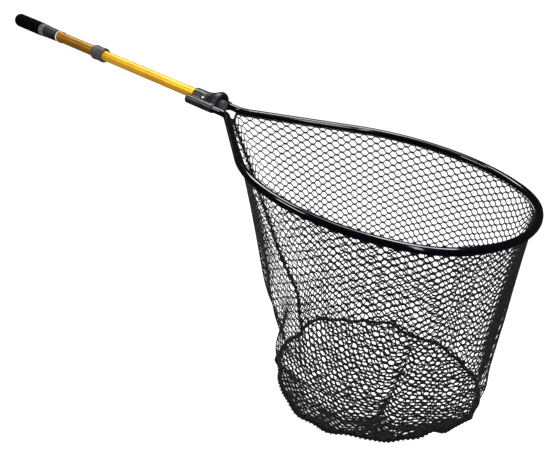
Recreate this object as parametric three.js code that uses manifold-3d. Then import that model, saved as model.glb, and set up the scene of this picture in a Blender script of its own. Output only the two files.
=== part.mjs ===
// Landing net: telescoping two-tube handle, three-barrel yoke, teardrop hoop and a flat-bottomed net bag.
//
// Millimetres. The origin is the centre of the flat butt of the grip, +X runs along the handle to the
// hoop, +Z is up and the bag hangs down. The hoop lies in a level plane a little below the handle's axis.

import * as THREE from 'three';
import { mergeVertices } from 'three/addons/utils/BufferGeometryUtils.js';
import { ParametricGeometry } from 'three/addons/geometries/ParametricGeometry.js';
import Module from 'manifold-3d';

const wasm = await Module();
wasm.setup();

// ---------------------------------------------------------------- driving dimensions

const GAP = 0.3;                    // clearance kept between pieces that touch
const CUT = 4;                      // how far a cutting tool runs past the face it opens
const FACETS = { handle: 30, barrel: 22, tube: 12, small: 12, cord: 6 };

// handle: the rear tube slides over the front tube
const REAR_TUBE = { start: 14, end: 344, outer: 13.4, bore: 12.75 };
const FRONT_TUBE = { start: 110, end: 755, outer: 12.5, bore: 11.4 };
const TUBE_BEAD = { start: 182, end: 194, outer: 15.1 };
const SLEEVE_BORE = REAR_TUBE.outer + GAP;   // bore of everything that sits on the rear tube

const GRIP = { length: 107.5, outer: 17.5, buttFace: 6, buttRound: 11, endWall: 12, chamfer: 1 };
const TRIM_RING = { length: 18, outer: 16.6, chamfer: 0.8 };
const FERRULE = { length: 51.5, rearOuter: 15.7, frontOuter: 14.8, chamfer: 0.6 };
const FERRULE_WASHER = { length: 4, outer: 14.5, chamfer: 0.3 };
const BUTT_PLUG = { length: 14, outer: 12.4, inset: 1 };   // inset: how far inside the tube's end

const LOCK_COLLAR = { start: 324, end: 361, outer: 18.4, chamfer: 1.6, mouth: 13.1, lip: 3 };
const LOCK_COLLET = { length: 12, outer: 15.6, bore: 12.85, slit: 3 };
const GUIDE_BUSH = { head: 6, spigot: 18, headOuter: 12.5, spigotOuter: 11.1 };
const END_PLUG = { spigot: 16, spigotOuter: 11.1, rim: 11.2, rimOuter: 12.5, dome: 3.6 };

// yoke: a barrel round the front tube with a smaller barrel each side for the hoop's arms
const YOKE = { rear: 680, front: 761, flatBottom: -16.5, edge: 1.2 };
const HANDLE_BARREL = { outer: 16.5, bore: 12.8 };
const ARM_BARREL = { outer: 10.5, bore: 8.3, floor: 17 };
const BELL = {
  // [distance behind the yoke's front, radius], from the root of the flare to the lip
  flare: [[52, 14.5], [50, 16.5], [30, 19.6], [14, 26.6], [8, 29], [4, 28.2], [1, 24.6], [0, 23]],
  mouthOuter: 19,
  mouthDepth: 5,
  mouthFloor: 14.3,
};
const WEB = { underside: -15, outerTop: -2, innerTop: 2, innerReach: 13.5 };

// snap button: rides in a boss on the near side of the handle barrel
const BUTTON = { back: 44, tilt: THREE.MathUtils.degToRad(76), boss: 6.8, bossTop: 20.6 };
const BUTTON_HEAD = { outer: 4.4, bottom: 18.6, top: 22, dome: 1.6 };
const BUTTON_STEM = { outer: 1.6, tip: 15 };
const BUTTON_POCKET = { outer: 4.8, floor: 14.2, stemHole: 2.1 };
const BUTTON_SPRING = { coil: 3, wire: 0.45, turns: 2.6 };
const SPRING_STEPS = 9;             // straight pieces in one turn of the spring

// hoop: each half is one straight arm and a chain of arcs that meet tangent to each other
const HOOP_TUBE = { outer: 7.94, bore: 6.74 };
const HOOP_DROP = 6;                // how far the hoop's plane lies below the handle's axis
const ARM_OFFSET = 28;              // arm to handle axis, across
const ARM_INSERT = 62;              // length of arm held inside its barrel
const ARM_FREE = 24;                // straight arm in front of its barrel
const BEND = { radius: 38.6, turn: 43.2 };
const SHOULDER_LENGTH = 252;
const SHOULDER_ARC = { radius: 326.6, turn: -43.2 };
const SIDE_ARC = { radius: 307, turn: -32.5 };
const CORNER_ARC = { radius: 213.2, turn: -32.3 };
const ARC_STEP = 7.5;               // most degrees of turn between two sections of the hoop tube
const SPLICE = { outer: 6.4, stations: 2 };
const JOINT_GAP = 1.2;              // opening between the two hoop tubes' ends, on the centre line
// low-headed screws, sunk flush into the underside of the arm barrels
const ARM_SCREW = {
  back: 22, shank: 1.9, hole: 2.3, head: 3.4, headHeight: 0.9, chamfer: 0.3, reach: 10.8, point: 1.2,
  recess: 1.2, headHole: 3.8,
};

// net bag
const HEM = { radius: 2, inset: 7.4, drop: 7.4 };
const NET_THICKNESS = 1.6;
const NET_TOP = -16.2;              // top edge of the side panel
const SEAM = { centre: 536, alongRadius: 203, acrossRadius: 241, z: -432, cord: 2.5, slices: 40 };
const BAG = { slices: 46, crowding: 0.6, rows: 6, pinch: 16 };   // pinch: how far the wall is drawn in
const BOTTOM = { sag: 62, rings: 5, slices: 28, margin: 3.8 };
const THROAT = { reach: 44, dip: 14, spread: 0.16 };
const SIDE_SEAM = { radius: 2, standOff: 3.2, topTrim: 0.3, bottomTrim: 0.2 };

// ---------------------------------------------------------------- materials

const finish = (color, roughness, metalness) => () =>
  new THREE.MeshStandardMaterial({ color, roughness, metalness });

const blackRubber = finish(0x17180f, 0.85, 0);
const lightGreyPlastic = finish(0xa9aba5, 0.5, 0);
const darkGreyPlastic = finish(0x4c4e52, 0.5, 0);
const paleNylon = finish(0xe8dcd6, 0.5, 0);
const yellowAnodised = finish(0xf0a81c, 0.28, 0.75);
const blackMoulding = finish(0x1b2021, 0.3, 0);
const greyPlug = finish(0x55595b, 0.45, 0);
const brightSteel = finish(0xd5d7d8, 0.2, 1);
const blackEnamel = finish(0x08090c, 0.12, 0.3);
const blackTwine = finish(0x14140f, 0.8, 0);

// ---------------------------------------------------------------- solids

// Merges a geometry's vertices into one closed skin and turns its faces outwards.
function closedSkin(geometry) {
  const bare = geometry.index ? geometry.toNonIndexed() : geometry.clone();
  bare.deleteAttribute('normal');
  bare.deleteAttribute('uv');
  const merged = mergeVertices(bare, 1e-3);
  const place = merged.attributes.position;
  const corners = [new THREE.Vector3(), new THREE.Vector3(), new THREE.Vector3()];
  const faces = [];
  let volume = 0;
  for (let i = 0; i < merged.index.count; i += 3) {
    const ids = [0, 1, 2].map((k) => merged.index.getX(i + k));
    if (new Set(ids).size < 3) continue;
    ids.forEach((id, k) => corners[k].fromBufferAttribute(place, id));
    volume += corners[0].dot(corners[1].clone().cross(corners[2]));
    faces.push(ids);
  }
  merged.setIndex(faces.flatMap(([a, b, c]) => (volume > 0 ? [a, b, c] : [a, c, b])));
  return merged;
}

function toSolid(geometry) {
  const skin = closedSkin(geometry);
  return new wasm.Manifold(new wasm.Mesh({
    numProp: 3,
    vertProperties: new Float32Array(skin.attributes.position.array),
    triVerts: new Uint32Array(skin.index.array),
  }));
}

function fromSolid(solid) {
  const mesh = solid.getMesh();
  const geometry = new THREE.BufferGeometry();
  geometry.setAttribute('position', new THREE.BufferAttribute(mesh.vertProperties, 3));
  geometry.setIndex(new THREE.BufferAttribute(mesh.triVerts, 1));
  return geometry;
}

// A piece turned about the X axis. The profile lists [x, radius] pairs.
function turned(profile, facets = FACETS.handle) {
  const points = profile.map(([x, radius]) => new THREE.Vector2(radius, x));
  return new THREE.LatheGeometry(points, facets).rotateZ(-Math.PI / 2);
}

// A turned sleeve with its bore: the outer profile runs forwards and the bore closes it.
function sleeve(outerProfile, bore, facets = FACETS.handle) {
  const first = outerProfile[0];
  const last = outerProfile[outerProfile.length - 1];
  return turned([...outerProfile, [last[0], bore], [first[0], bore], first], facets);
}

function rod(start, end, radius, facets = FACETS.handle) {
  return turned([[start, 0], [start, radius], [end, radius], [end, 0]], facets);
}

function chamferedEnds(length, outer, chamfer) {
  return [[0, outer - chamfer], [chamfer, outer], [length - chamfer, outer], [length, outer - chamfer]];
}

function part(name, geometry, material, parent) {
  const mesh = new THREE.Mesh(closedSkin(geometry), material());
  mesh.name = name;
  parent.add(mesh);
  return mesh;
}

// ---------------------------------------------------------------- hoop outline

// Walks straights and arcs from a start point; turns are in degrees, positive away from the handle.
function walkOutline(y, legs) {
  const stations = [new THREE.Vector3(0, y, 0)];
  let at = stations[0].clone();
  let heading = 0;
  const marks = [0];
  for (const { length, radius, turn } of legs(() => ({ at, heading }))) {
    if (length !== undefined) {
      at = at.clone().add(new THREE.Vector3(Math.cos(heading), Math.sin(heading), 0).multiplyScalar(length));
      stations.push(at);
    } else {
      const sweep = THREE.MathUtils.degToRad(turn);
      const side = Math.sign(sweep);
      const pivot = at.clone().add(
        new THREE.Vector3(-Math.sin(heading), Math.cos(heading), 0).multiplyScalar(side * radius));
      const steps = Math.ceil(Math.abs(turn) / ARC_STEP);
      for (let i = 1; i <= steps; i += 1) {
        const angle = heading + (sweep * i) / steps;
        at = pivot.clone().add(
          new THREE.Vector3(Math.sin(angle), -Math.cos(angle), 0).multiplyScalar(side * radius));
        stations.push(at);
      }
      heading += sweep;
    }
    marks.push(stations.length - 1);
  }
  return { stations, marks };
}

// The legs of the far half, from the barrel's mouth to the nose. The last arc closes on the centre line.
function* hoopLegs(state) {
  yield { length: ARM_FREE };
  yield BEND;
  yield { length: SHOULDER_LENGTH };
  yield SHOULDER_ARC;
  yield SIDE_ARC;
  yield CORNER_ARC;
  const { at, heading } = state();
  const left = 90 + THREE.MathUtils.radToDeg(heading);
  yield { radius: at.y / Math.cos(heading), turn: -left };
}

const MARK = { bendEnd: 2, sideEnd: 5 };
const half = walkOutline(ARM_OFFSET, hoopLegs);
const mirror = (point) => new THREE.Vector3(point.x, -point.y, point.z);

// Stations of the whole hoop, from the near arm round the nose to the far arm.
const nearHalf = half.stations.map(mirror);
const farHalf = [...half.stations].reverse();
const loop = [...nearHalf, ...farHalf.slice(1)];
const joint = loop.length - 1 - half.marks[MARK.sideEnd];

// A path whose parameter steps from station to station, so a sweep has one section at each of them.
class StationPath extends THREE.Curve {
  constructor(stations) {
    super();
    this.stations = stations;
  }

  getPoint(t, target = new THREE.Vector3()) {
    const place = t * (this.stations.length - 1);
    const i = Math.min(Math.floor(place), this.stations.length - 2);
    return target.copy(this.stations[i]).lerp(this.stations[i + 1], place - i);
  }

  getTangent(t, target = new THREE.Vector3()) {
    const last = this.stations.length - 1;
    const i = Math.round(t * last);
    const ahead = this.stations[Math.min(i + 1, last)].clone();
    const behind = this.stations[Math.max(i - 1, 0)].clone();
    const here = this.stations[i];
    const forward = i < last ? ahead.sub(here).normalize() : new THREE.Vector3();
    const backward = i > 0 ? here.clone().sub(behind).normalize() : new THREE.Vector3();
    return target.copy(forward).add(backward).normalize();
  }

  getPointAt(t, target) {
    return this.getPoint(t, target);
  }

  getTangentAt(t, target) {
    return this.getTangent(t, target);
  }
}

function sweep(stations, radius, facets, bore = 0) {
  const section = new THREE.Shape().absarc(0, 0, radius, 0, 2 * Math.PI);
  if (bore > 0) section.holes.push(new THREE.Path().absarc(0, 0, bore, 0, 2 * Math.PI, true));
  return new THREE.ExtrudeGeometry(section, {
    steps: stations.length - 1,
    curveSegments: facets / 2,
    extrudePath: new StationPath(stations),
  });
}

// Moves each station sideways towards the inside of the loop and down.
function insetPath(stations, inset, drop) {
  const path = new StationPath(stations);
  return stations.map((station, i) => {
    const tangent = path.getTangent(i / (stations.length - 1));
    const inwards = new THREE.Vector3(-tangent.y, tangent.x, 0);
    return station.clone().addScaledVector(inwards, inset).setZ(station.z - drop);
  });
}

// ---------------------------------------------------------------- handle, rear section

function gripShape() {
  const { length, outer, buttFace, buttRound, endWall, chamfer } = GRIP;
  const profile = [[0, 0], [0, buttFace]];
  const steps = 6;
  for (let i = 1; i <= steps; i += 1) {
    const angle = (i / steps) * (Math.PI / 2);
    profile.push([
      buttRound * (1 - Math.cos(angle)),
      buttFace + (outer - buttFace) * Math.sin(angle),
    ]);
  }
  profile.push([length - chamfer, outer], [length, outer - chamfer], [length, SLEEVE_BORE]);
  profile.push([endWall, SLEEVE_BORE], [endWall, 0]);
  return turned(profile);
}

function ferruleShape() {
  const { length, rearOuter, frontOuter, chamfer } = FERRULE;
  return sleeve([
    [0, rearOuter - chamfer], [chamfer, rearOuter],
    [length - chamfer, frontOuter], [length, frontOuter - chamfer],
  ], SLEEVE_BORE);
}

// The rear tube has a rolled bead that stops the ferrule.
function rearTubeShape() {
  const { start, end, outer, bore } = REAR_TUBE;
  const bead = TUBE_BEAD;
  const profile = [[start, outer]];
  const steps = 6;
  for (let i = 0; i <= steps; i += 1) {
    const t = i / steps;
    profile.push([
      THREE.MathUtils.lerp(bead.start, bead.end, t),
      outer + (bead.outer - outer) * Math.sin(Math.PI * t) ** 0.5,
    ]);
  }
  profile.push([end, outer]);
  return sleeve(profile, bore);
}

// A collar with a narrower mouth in front; it turns on the rear tube and squeezes the collet.
function lockCollarShape() {
  const { start, end, outer, chamfer, mouth, lip } = LOCK_COLLAR;
  const length = end - start;
  const collet = LOCK_COLLET.outer + GAP;
  const colletStart = REAR_TUBE.end - start - GAP;
  return turned([
    [0, outer - chamfer], [chamfer, outer], [length - chamfer, outer], [length, outer - chamfer],
    [length, mouth], [length - lip, mouth], [length - lip, collet], [colletStart, collet],
    [colletStart, SLEEVE_BORE], [0, SLEEVE_BORE], [0, outer - chamfer],
  ]);
}

// A split ring: the slit lets the collar close it on the front tube.
function lockColletShape() {
  const { length, outer, bore, slit } = LOCK_COLLET;
  const outerHalf = Math.asin(slit / 2 / outer);
  const boreHalf = Math.asin(slit / 2 / bore);
  const ring = new THREE.Shape();
  ring.absarc(0, 0, outer, outerHalf, 2 * Math.PI - outerHalf, false);
  ring.absarc(0, 0, bore, 2 * Math.PI - boreHalf, boreHalf, true);
  ring.closePath();
  return new THREE.ExtrudeGeometry(ring, {
    depth: length,
    bevelEnabled: false,
    curveSegments: FACETS.handle / 2,
  }).rotateY(Math.PI / 2);
}

function rearSection() {
  const group = new THREE.Group();
  part('grip', gripShape(), blackRubber, group);

  let x = GRIP.length + GAP;
  const ring = chamferedEnds(TRIM_RING.length, TRIM_RING.outer, TRIM_RING.chamfer);
  part('grip_trim_ring', sleeve(ring, SLEEVE_BORE), lightGreyPlastic, group).position.x = x;
  x += TRIM_RING.length + GAP;
  part('grip_ferrule', ferruleShape(), darkGreyPlastic, group).position.x = x;
  x += FERRULE.length + GAP;
  const washer = chamferedEnds(FERRULE_WASHER.length, FERRULE_WASHER.outer, FERRULE_WASHER.chamfer);
  part('ferrule_washer', sleeve(washer, SLEEVE_BORE), paleNylon, group).position.x = x;

  part('rear_tube', rearTubeShape(), yellowAnodised, group);
  part('rear_tube_plug', rod(0, BUTT_PLUG.length, BUTT_PLUG.outer), darkGreyPlastic, group)
    .position.x = REAR_TUBE.start + BUTT_PLUG.inset;
  part('lock_collet', lockColletShape(), paleNylon, group).position.x = REAR_TUBE.end + GAP;
  return group;
}

function lockCollar() {
  const group = new THREE.Group();
  part('lock_collar', lockCollarShape(), darkGreyPlastic, group);
  group.position.x = LOCK_COLLAR.start;
  return group;
}

// ---------------------------------------------------------------- handle, front section

function endPlugShape() {
  const { spigot, spigotOuter, rim, rimOuter, dome } = END_PLUG;
  const profile = [[-spigot, 0], [-spigot, spigotOuter], [GAP, spigotOuter], [GAP, rimOuter],
    [rim, rimOuter]];
  const steps = 4;
  for (let i = 1; i <= steps; i += 1) {
    const angle = (i / steps) * (Math.PI / 2);
    profile.push([rim + dome * Math.sin(angle), rimOuter * Math.cos(angle)]);
  }
  return turned(profile);
}

function guideBushShape() {
  const { head, spigot, headOuter, spigotOuter } = GUIDE_BUSH;
  return turned([
    [-head, 0], [-head, headOuter], [-GAP, headOuter],
    [-GAP, spigotOuter], [spigot, spigotOuter], [spigot, 0],
  ]);
}

function frontSection() {
  const group = new THREE.Group();
  const { start, end, outer, bore } = FRONT_TUBE;
  part('front_tube', sleeve([[start, outer], [end, outer]], bore), yellowAnodised, group);
  part('front_tube_guide_bush', guideBushShape(), paleNylon, group).position.x = start;
  part('front_tube_end_plug', endPlugShape(), greyPlug, group).position.x = end;
  return group;
}

// ---------------------------------------------------------------- yoke

// The bell swells out of the handle barrel and rounds over at the yoke's front.
function bellShape() {
  const skin = BELL.flare.map(([back, radius]) => [-back, radius]);
  return turned([[skin[0][0], 0], ...skin, [0, 0]]);
}

// A barrel whose front end lies at the yoke's front.
function barrel(outer, facets) {
  const length = YOKE.front - YOKE.rear;
  const skin = chamferedEnds(length, outer, YOKE.edge).map(([x, radius]) => [x - length, radius]);
  return turned([[-length, 0], ...skin, [0, 0]], facets);
}

// A flat web that fills the valley between the handle barrel and one arm barrel.
function barrelWeb(side) {
  const length = YOKE.front - YOKE.rear - 2 * YOKE.edge;
  const web = new THREE.Shape();
  web.moveTo(0, WEB.underside);
  web.lineTo(side * ARM_OFFSET, WEB.underside);
  web.lineTo(side * ARM_OFFSET, WEB.outerTop);
  web.lineTo(side * WEB.innerReach, WEB.innerTop);
  web.lineTo(0, WEB.innerTop);
  web.closePath();
  return new THREE.ExtrudeGeometry(web, { depth: length, bevelEnabled: false })
    .rotateY(Math.PI / 2).rotateX(Math.PI / 2).translate(-length - YOKE.edge, 0, 0);
}

// Turns a piece made along +X into the snap button's direction and moves it to the button's place.
function atButton(geometry) {
  return geometry.rotateY(-Math.PI / 2).rotateX(BUTTON.tilt).translate(-BUTTON.back, 0, 0);
}

const SIDES = [-1, 1];

// The barrels, webs, bell and button boss joined into one body.
function yokeBody() {
  let body = toSolid(barrel(HANDLE_BARREL.outer)).add(toSolid(bellShape()));
  for (const side of SIDES) {
    const arm = barrel(ARM_BARREL.outer, FACETS.barrel).translate(0, side * ARM_OFFSET, -HOOP_DROP);
    body = body.add(toSolid(arm)).add(toSolid(barrelWeb(side)));
  }
  return body.add(toSolid(atButton(rod(0, BUTTON.bossTop, BUTTON.boss, FACETS.barrel))));
}

// Everything that is bored or cut away from the yoke.
function yokeCuts() {
  const length = YOKE.front - YOKE.rear;
  const { mouthDepth, mouthFloor, mouthOuter } = BELL;
  const cuts = [
    turned([[-mouthDepth, 0], [-mouthDepth, mouthFloor], [0, mouthOuter], [CUT, mouthOuter], [CUT, 0]]),
    rod(-length - CUT, CUT, HANDLE_BARREL.bore),
    atButton(rod(BUTTON_POCKET.floor, BUTTON.bossTop + CUT, BUTTON_POCKET.outer, FACETS.barrel)),
    atButton(rod(HANDLE_BARREL.bore - CUT, BUTTON.bossTop, BUTTON_POCKET.stemHole, FACETS.small)),
    new THREE.BoxGeometry(4 * length, 4 * length, length).translate(0, 0, YOKE.flatBottom - length / 2),
  ];
  for (const side of SIDES) {
    const bore = rod(-length + ARM_BARREL.floor, CUT, ARM_BARREL.bore, FACETS.barrel);
    cuts.push(bore.translate(0, side * ARM_OFFSET, -HOOP_DROP), screwHole(side), screwRecess(side));
  }
  return cuts;
}

function yokeShape() {
  return fromSolid(yokeCuts().reduce((body, cut) => body.subtract(toSolid(cut)), yokeBody()));
}

// The seat of a screw's head, at the floor of its recess.
function screwPlace(side) {
  const x = YOKE.rear - YOKE.front + ARM_SCREW.back + ARM_BARREL.floor;
  return [x, side * ARM_OFFSET, YOKE.flatBottom + ARM_SCREW.recess];
}

function screwHole(side) {
  return rod(-CUT, ARM_SCREW.reach, ARM_SCREW.hole, FACETS.small)
    .rotateY(-Math.PI / 2).translate(...screwPlace(side));
}

function screwRecess(side) {
  return rod(-ARM_SCREW.recess - CUT, 0, ARM_SCREW.headHole, FACETS.small)
    .rotateY(-Math.PI / 2).translate(...screwPlace(side));
}

function armScrewShape() {
  const { shank, head, headHeight, chamfer, reach, point } = ARM_SCREW;
  return turned([
    [-headHeight - GAP, 0], [-headHeight - GAP, head - chamfer], [chamfer - headHeight - GAP, head],
    [-GAP, head], [-GAP, shank], [reach - 2 * point, shank], [reach - point, 0],
  ], FACETS.small).rotateY(-Math.PI / 2);
}

function buttonShape() {
  const { outer, bottom, top, dome } = BUTTON_HEAD;
  const profile = [[BUTTON_STEM.tip, 0], [BUTTON_STEM.tip, BUTTON_STEM.outer], [bottom, BUTTON_STEM.outer],
    [bottom, outer]];
  const steps = 5;
  for (let i = 0; i <= steps; i += 1) {
    const angle = (i / steps) * (Math.PI / 2);
    profile.push([top - dome + dome * Math.sin(angle), outer * Math.cos(angle)]);
  }
  return atButton(turned(profile, FACETS.barrel));
}

function buttonSpringShape() {
  const { coil, wire, turns } = BUTTON_SPRING;
  const bottom = BUTTON_POCKET.floor + wire + GAP;
  const top = BUTTON_HEAD.bottom - wire - GAP;
  const stations = [];
  const steps = Math.round(turns * SPRING_STEPS);
  for (let i = 0; i <= steps; i += 1) {
    const angle = (2 * Math.PI * turns * i) / steps;
    stations.push(new THREE.Vector3(
      THREE.MathUtils.lerp(bottom, top, i / steps), coil * Math.cos(angle), coil * Math.sin(angle)));
  }
  return atButton(sweep(stations, wire, FACETS.cord));
}

// ---------------------------------------------------------------- hoop and net

function hoopTube(stations, armAtStart) {
  const arm = stations[armAtStart ? 0 : stations.length - 1];
  const inside = arm.clone().setX(arm.x - ARM_INSERT);
  const whole = armAtStart ? [inside, ...stations] : [...stations, inside];
  return sweep(whole, HOOP_TUBE.outer, FACETS.tube, HOOP_TUBE.bore);
}

function drilledHoopTube(stations, side) {
  const tube = hoopTube(stations, side < 0).translate(0, 0, -HOOP_DROP);
  return fromSolid(toSolid(tube).subtract(toSolid(screwHole(side))));
}

// The hem's line seen from the bag's centre line, without the arms and the start of their bends.
const bendEnd = half.marks[MARK.bendEnd];
const innerRim = insetPath(loop, HEM.inset, 0)
  .map((point) => new THREE.Vector2(point.x - SEAM.centre, point.y))
  .slice(bendEnd - 2, loop.length - bendEnd + 2);

// Distance from the bag's centre line to the hem, looking out at an angle. A straight line closes the throat.
function rimRadiusAt(angle) {
  const direction = new THREE.Vector2(Math.cos(angle), Math.sin(angle));
  let best = direction.x < 0 ? (THROAT.reach - SEAM.centre) / direction.x : Infinity;
  for (let i = 0; i < innerRim.length - 1; i += 1) {
    const edge = innerRim[i + 1].clone().sub(innerRim[i]);
    const across = direction.cross(edge);
    const distance = innerRim[i].cross(edge) / across;
    const along = innerRim[i].cross(direction) / across;
    if (distance > 0 && along >= 0 && along <= 1) best = Math.min(best, distance);
  }
  return best;
}

function seamRadiusAt(angle) {
  return 1 / Math.hypot(Math.cos(angle) / SEAM.alongRadius, Math.sin(angle) / SEAM.acrossRadius);
}

// A point of the side wall: angle round the bag, depth from 0 at the hoop to 1 at the seam.
function wallPoint(angle, depth, offset, target) {
  const fromThroat = (Math.PI - Math.abs(Math.atan2(Math.sin(angle), Math.cos(angle)))) / THROAT.spread;
  const top = NET_TOP - THROAT.dip * Math.exp(-fromThroat * fromThroat);
  const straight = THREE.MathUtils.lerp(rimRadiusAt(angle), seamRadiusAt(angle), depth);
  const radius = straight - BAG.pinch * Math.sin(Math.PI * depth) + offset;
  return target.set(
    SEAM.centre + radius * Math.cos(angle),
    radius * Math.sin(angle),
    THREE.MathUtils.lerp(top, SEAM.z + SEAM.cord + GAP, depth));
}

// Slices crowd together towards the throat, where the hoop is narrow.
const sliceAngle = (u) => 2 * Math.PI * u + BAG.crowding * Math.sin(2 * Math.PI * u);

// An open-ended wall: rows run down the outside and back up the inside.
function sidePanelShape() {
  const { rows, slices } = BAG;
  const rounds = 2 * rows + 2;
  const place = (u, v, target) => {
    const step = Math.round(v * rounds) % rounds;
    const outside = step <= rows;
    const depth = (outside ? step : rounds - 1 - step) / rows;
    wallPoint(sliceAngle(u), depth, (outside ? 1 : -1) * (NET_THICKNESS / 2), target);
  };
  return new ParametricGeometry(place, slices, rounds);
}

function bottomPanelShape() {
  const { sag, rings, slices, margin } = BOTTOM;
  const reach = SEAM.acrossRadius - margin;
  const under = [];
  const over = [];
  for (let i = 0; i <= rings; i += 1) {
    const t = i / rings;
    const z = -sag * (1 - t * t);
    under.push(new THREE.Vector2(reach * t, z - NET_THICKNESS / 2));
    over.unshift(new THREE.Vector2(reach * t, z + NET_THICKNESS / 2));
  }
  return new THREE.LatheGeometry([...under, ...over], slices)
    .rotateX(Math.PI / 2)
    .scale((SEAM.alongRadius - margin) / reach, 1, 1)
    .translate(SEAM.centre, 0, SEAM.z);
}

function seamCordShape() {
  const place = (u, v, target) => {
    const angle = 2 * Math.PI * u;
    const swell = SEAM.cord * Math.cos(2 * Math.PI * v);
    target.set(
      SEAM.centre + (SEAM.alongRadius + swell) * Math.cos(angle),
      (SEAM.acrossRadius + swell) * Math.sin(angle),
      SEAM.z + SEAM.cord * Math.sin(2 * Math.PI * v));
  };
  return new ParametricGeometry(place, SEAM.slices, FACETS.cord);
}

// The seam down the throat lies on the outside of the wall and bends where the wall's rows do.
function sideSeamShape() {
  const { radius, standOff, topTrim, bottomTrim } = SIDE_SEAM;
  const { rows } = BAG;
  const stations = [];
  for (let row = 0; row <= rows; row += 1) {
    stations.push(wallPoint(Math.PI, row / rows, NET_THICKNESS / 2 + standOff, new THREE.Vector3()));
  }
  stations[0].lerp(stations[1], topTrim);
  stations[rows].lerp(stations[rows - 1], bottomTrim);
  return sweep(stations, radius, FACETS.cord);
}

function hoopSection() {
  const group = new THREE.Group();
  group.position.x = YOKE.front;

  part('yoke', yokeShape(), blackMoulding, group);
  part('snap_button', buttonShape(), brightSteel, group);
  part('snap_button_spring', buttonSpringShape(), brightSteel, group);
  for (const [name, side] of [['arm_screw_near', -1], ['arm_screw_far', 1]]) {
    part(name, armScrewShape(), brightSteel, group).position.set(...screwPlace(side));
  }

  const nearTube = loop.slice(0, joint + 1);
  const farTube = loop.slice(joint).map((p) => p.clone());
  farTube[0].lerp(farTube[1], JOINT_GAP / farTube[0].distanceTo(farTube[1]));
  part('hoop_tube_near', drilledHoopTube(nearTube, -1), blackEnamel, group);
  part('hoop_tube_far', drilledHoopTube(farTube, 1), blackEnamel, group);
  const splice = loop.slice(joint - SPLICE.stations, joint + SPLICE.stations + 1);
  part('hoop_splice', sweep(splice, SPLICE.outer, FACETS.tube), brightSteel, group).position.z = -HOOP_DROP;

  const hem = insetPath(loop, HEM.inset, HEM.drop).slice(bendEnd, loop.length - bendEnd);
  part('net_hem_cord', sweep(hem, HEM.radius, FACETS.cord), blackTwine, group).position.z = -HOOP_DROP;
  part('net_side_panel', sidePanelShape(), blackTwine, group);
  part('net_bottom_panel', bottomPanelShape(), blackTwine, group);
  part('net_seam_cord', seamCordShape(), blackTwine, group);
  part('net_side_seam', sideSeamShape(), blackTwine, group);
  return group;
}

const group = new THREE.Group();
group.name = 'landing_net';
group.add(rearSection(), lockCollar(), frontSection(), hoopSection());

export default group;
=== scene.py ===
"""Landing net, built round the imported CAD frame.

Lengths are millimetres in the frame's axes: +X along the handle to the hoop, +Z up. They turn to metres
when a mesh is made. The materials' relief, the camera, the floor and the lights are given in metres.
"""
import math

import bpy
import numpy as np
from mathutils import Matrix, Vector


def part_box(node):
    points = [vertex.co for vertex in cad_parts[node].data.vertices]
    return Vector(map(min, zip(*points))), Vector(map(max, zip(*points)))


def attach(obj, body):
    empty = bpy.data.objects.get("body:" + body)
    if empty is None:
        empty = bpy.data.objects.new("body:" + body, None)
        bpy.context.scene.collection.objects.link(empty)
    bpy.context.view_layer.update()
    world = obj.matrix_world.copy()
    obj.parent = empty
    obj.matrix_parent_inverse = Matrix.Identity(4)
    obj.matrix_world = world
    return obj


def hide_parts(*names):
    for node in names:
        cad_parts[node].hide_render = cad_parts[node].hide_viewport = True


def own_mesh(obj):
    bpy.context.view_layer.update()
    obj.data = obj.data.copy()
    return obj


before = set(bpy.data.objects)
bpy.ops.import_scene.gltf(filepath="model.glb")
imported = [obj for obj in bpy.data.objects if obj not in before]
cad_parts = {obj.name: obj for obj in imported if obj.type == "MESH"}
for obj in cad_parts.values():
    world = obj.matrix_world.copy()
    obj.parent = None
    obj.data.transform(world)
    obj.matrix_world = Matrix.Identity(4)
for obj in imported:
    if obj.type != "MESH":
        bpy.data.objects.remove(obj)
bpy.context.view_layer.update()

SEED = 7

# ---------------------------------------------------------------- places taken from the frame


def low(node, axis):
    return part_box(node)[0][axis] * 1000


def high(node, axis):
    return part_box(node)[1][axis] * 1000


FRONT = high("yoke", 0)                      # the yoke's front face, where the hoop's outline starts
HOOP_DROP = 6.0                              # hoop's plane below the handle's axis
GAP = 0.3

# radii: the two handle tubes, the bore of what sits on the rear one, the end plug inside the front one
REAR_TUBE, REAR_BORE = 13.4, 12.75
FRONT_TUBE, FRONT_BORE = 12.5, 11.4
SLEEVE_BORE = 13.7
PLUG_SPIGOT = 11.1

# the hoop's outline: straights (length) and arcs (radius, turn in degrees)
ARM_OFFSET = 28.0
ARM_LEGS = [("straight", 24.0), ("arc", 38.6, 43.2), ("straight", 252.0), ("arc", 326.6, -43.2),
            ("arc", 307.0, -32.5), ("arc", 213.2, -32.3)]
JOINT_LEG = 5                                # the far tube meets the near tube after this leg
HOOP_RADIUS, HOOP_BORE = 7.94, 6.74
HOOP_JOINT_GAP = 1.2                         # opening between the ends of the two tubes
SPLICE_RADIUS = 6.4

# the bag
HEM_INSET = 7.4
HEM_Z = -HOOP_DROP - 7.4
SEAM_CENTRE = 536.0
SEAM_ALONG = 203.0
SEAM_ACROSS = 241.0
SEAM_Z = -432.0
HEM_START = 27.0                             # in front of the yoke
THROAT_X = 40.0
THROAT_Z = -22.0

# ---------------------------------------------------------------- meshes


def make_object(name, verts, faces, material, sharp=35):
    """An object from vertices in millimetres, smooth except at edges sharper than the angle."""
    mesh = bpy.data.meshes.new(name)
    mesh.from_pydata((np.asarray(verts, float) / 1000).tolist(), [], faces)
    mesh.polygons.foreach_set("use_smooth", [True] * len(mesh.polygons))
    mesh.set_sharp_from_angle(angle=math.radians(sharp))
    mesh.materials.append(material)
    mesh.validate()
    obj = bpy.data.objects.new(name, mesh)
    bpy.context.scene.collection.objects.link(obj)
    return obj


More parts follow.
